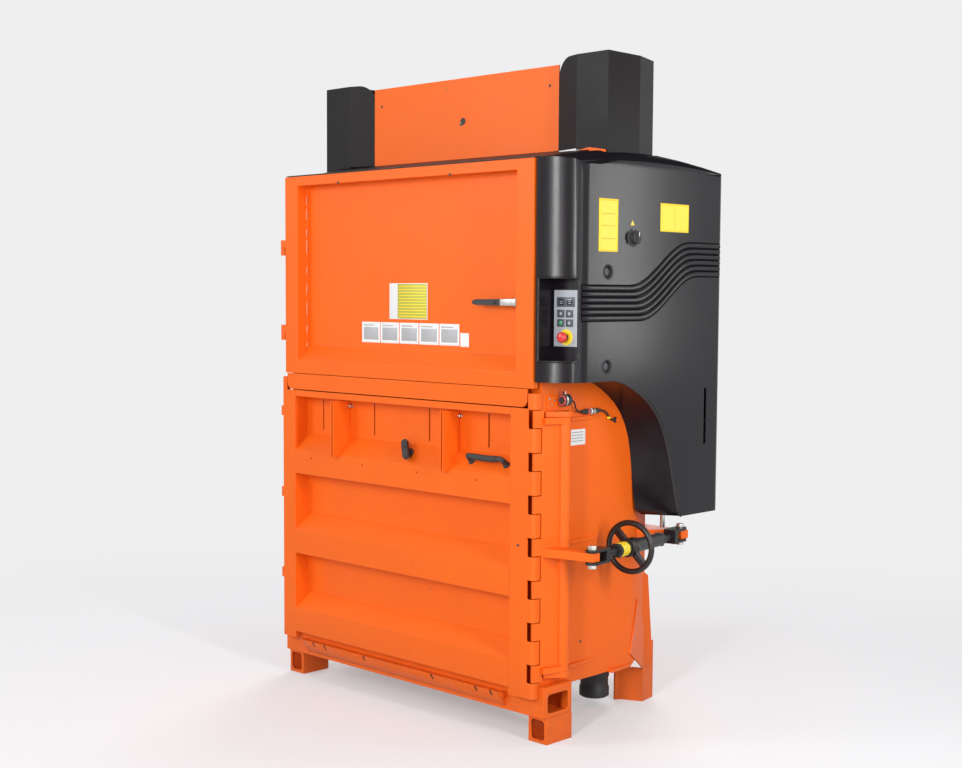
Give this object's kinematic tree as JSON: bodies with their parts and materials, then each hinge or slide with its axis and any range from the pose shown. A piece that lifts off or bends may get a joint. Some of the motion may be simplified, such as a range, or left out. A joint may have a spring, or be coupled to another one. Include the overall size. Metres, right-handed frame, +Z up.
{
  "type": "vertical recycling baler",
  "caption": "Tall press for card and film: fluted baling door, pan-shaped feed door, crossed cylinders under hoods, toothed lock column with handwheel, moulded side cover.",
  "frame": {"origin": "on the floor under the middle of the machine's bounding box", "axes": "+X to the machine's right as its operator faces its doors from the front, +Y back from the doors, +Z up"},
  "size_m": [1.3888, 0.764, 1.985],
  "materials": {
    "orange_paint": "satin powder coat",
    "grey_paint": "satin powder coat",
    "light_grey_paint": "satin paint",
    "black_paint": "satin paint",
    "zinc_steel": "zinc plated",
    "rod_chrome": "hard chrome",
    "cover_plastic": "grained",
    "black_plastic": "matt",
    "red_plastic": "gloss",
    "green_plastic": "gloss",
    "sensor_red": "satin",
    "motor_blue": "satin paint",
    "guide_plastic": "plain",
    "cable_black": "matt"
  },
  "bodies": {
    "frame": {"side_wall_left": "orange_paint", "side_wall_right": "orange_paint", "rear_wall": "orange_paint", "floor_plate": "orange_paint", "front_beam": "orange_paint", "front_feet": "orange_paint", "floor_runners": "orange_paint", "rear_legs": "orange_paint", "threshold_rail": "orange_paint", "front_rails": "orange_paint", "apron": "orange_paint", "roof_front": "grey_paint", "roof_rear": "grey_paint", "guard_plate": "orange_paint", "hood_left": "grey_paint", "hood_right": "grey_paint", "frame_hinges": "orange_paint", "column_brackets": "orange_paint", "rear_fork_bolt": "zinc_steel", "rear_anchor_arm": "orange_paint", "interlock_bracket": "orange_paint", "interlock_sensor": "sensor_red", "sensor_cable": "cable_black", "cable_connector": "black_plastic", "connector_cable": "cable_black", "side_cover": "cover_plastic", "control_plate": "black_plastic", "oil_tank": "light_grey_paint", "pump_motor": "motor_blue"},
    "platen": {"platen": "orange_paint", "platen_guides": "guide_plastic"},
    "barrel_left": {"cylinder_barrel_left": "black_paint"},
    "barrel_right": {"cylinder_barrel_right": "black_paint"},
    "rod_left": {"cylinder_rod_left": "rod_chrome"},
    "rod_right": {"cylinder_rod_right": "rod_chrome"},
    "feed_door": {"feed_door_panel": "orange_paint", "feed_door_hinges": "orange_paint", "latch_bracket": "light_grey_paint"},
    "latch": {"latch_lever": "black_plastic"},
    "bale_door": {"bale_door_panel": "orange_paint", "bale_hinge_stile": "orange_paint", "bale_lock_stile": "orange_paint", "bale_door_hinges": "orange_paint", "strap_brackets": "orange_paint", "rotary_handle_base": "zinc_steel", "pull_handle": "black_plastic"},
    "rotary": {"rotary_handle": "black_plastic"},
    "lock_column": {"locking_column": "orange_paint", "lever_arm": "orange_paint", "front_fork_bolt": "zinc_steel"},
    "rear_fork": {"rear_fork": "black_paint"},
    "front_fork": {"front_fork": "black_paint"},
    "turnbuckle": {"turnbuckle_tube": "black_paint", "handwheel": "black_plastic"},
    "main_switch": {"main_switch": "black_plastic"},
    "estop": {"estop_button": "red_plastic"},
    "button_down": {"button_down": "black_plastic"},
    "button_up": {"button_up": "black_plastic"},
    "button_start": {"button_start": "green_plastic"},
    "button_return": {"button_return": "black_plastic"}
  },
  "joints": [
    {"name": "platen_lift", "type": "slide", "parent": "frame", "child": "platen", "axis": [0, 0, 1], "range_m": [-1, 0]},
    {"name": "barrel_left_swing", "type": "hinge", "parent": "frame", "child": "barrel_left", "pos_m": [-0.63436, -0.041, 1.923], "axis": [0, 1, 0], "range_deg": [0, 38.29]},
    {"name": "barrel_right_swing", "type": "hinge", "parent": "frame", "child": "barrel_right", "pos_m": [0.49564, 0.064, 1.923], "axis": [0, 1, 0], "range_deg": [-38.29, 0]},
    {"name": "rod_left_slide", "type": "slide", "parent": "barrel_left", "child": "rod_left", "axis": [0.968, 0, -0.251], "range_m": [0, 0.58688]},
    {"name": "rod_right_slide", "type": "slide", "parent": "barrel_right", "child": "rod_right", "axis": [-0.968, 0, -0.251], "range_m": [0, 0.58688]},
    {"name": "feed_door_hinge", "type": "hinge", "parent": "frame", "child": "feed_door", "pos_m": [-0.65136, -0.347, 1.132], "axis": [0, 0, -1], "range_deg": [0, 110]},
    {"name": "latch_turn", "type": "hinge", "parent": "feed_door", "child": "latch", "pos_m": [0.40664, -0.353, 1.266], "axis": [0, -1, 0], "range_deg": [0, 70]},
    {"name": "bale_door_hinge", "type": "hinge", "parent": "frame", "child": "bale_door", "pos_m": [-0.65136, -0.347, 0.879], "axis": [0, 0, -1], "range_deg": [0, 120]},
    {"name": "rotary_turn", "type": "hinge", "parent": "bale_door", "child": "rotary", "pos_m": [-0.04636, -0.3365, 0.7955], "axis": [0, -0.7323, 0.6809], "range_deg": [-90, 90]},
    {"name": "wheel_spin", "type": "hinge", "parent": "rear_fork", "child": "turnbuckle", "pos_m": [0.61416, -0.07311, 0.5565], "axis": [0.1384, -0.9904, 0], "range_deg": [0, 1159.48]},
    {"name": "rear_fork_swing", "type": "hinge", "parent": "frame", "child": "rear_fork", "pos_m": [0.57264, 0.224, 0.5565], "axis": [0, 0, 1], "range_deg": [0, 0.539]},
    {"name": "front_fork_slide", "type": "slide", "parent": "rear_fork", "child": "front_fork", "axis": [-0.1384, 0.9904, 0], "range_m": [0, 0.02582]},
    {"name": "column_turn", "type": "hinge", "parent": "frame", "child": "lock_column", "pos_m": [0.51864, -0.26, 0.208], "axis": [0, 0, 1], "range_deg": [0, 12.01]},
    {"name": "switch_turn", "type": "hinge", "parent": "frame", "child": "main_switch", "pos_m": [0.60164, -0.062, 1.454], "axis": [1, 0, 0], "range_deg": [0, 90]},
    {"name": "estop_press", "type": "slide", "parent": "frame", "child": "estop", "axis": [0, 1, 0], "range_m": [0, 0.005], "stiffness_N_per_m": 1500},
    {"name": "down_press", "type": "slide", "parent": "frame", "child": "button_down", "axis": [0, 1, 0], "range_m": [0, 0.0015], "stiffness_N_per_m": 1200},
    {"name": "up_press", "type": "slide", "parent": "frame", "child": "button_up", "axis": [0, 1, 0], "range_m": [0, 0.0015], "stiffness_N_per_m": 1200},
    {"name": "start_press", "type": "slide", "parent": "frame", "child": "button_start", "axis": [0, 1, 0], "range_m": [0, 0.0015], "stiffness_N_per_m": 1200},
    {"name": "return_press", "type": "slide", "parent": "frame", "child": "button_return", "axis": [0, 1, 0], "range_m": [0, 0.0015], "stiffness_N_per_m": 1200}
  ],
  "couplings": [
    {"joint": "barrel_left_swing", "follows": "platen_lift", "rad_per_m": -0.66786},
    {"joint": "barrel_right_swing", "follows": "platen_lift", "rad_per_m": 0.66786},
    {"joint": "rod_left_slide", "follows": "platen_lift", "ratio": -0.58678},
    {"joint": "rod_right_slide", "follows": "platen_lift", "ratio": -0.58678},
    {"joint": "rear_fork_swing", "follows": "wheel_spin", "ratio": 0.00045656},
    {"joint": "front_fork_slide", "follows": "wheel_spin", "m_per_rad": 0.0012732},
    {"joint": "column_turn", "follows": "wheel_spin", "ratio": 0.010349}
  ]
}
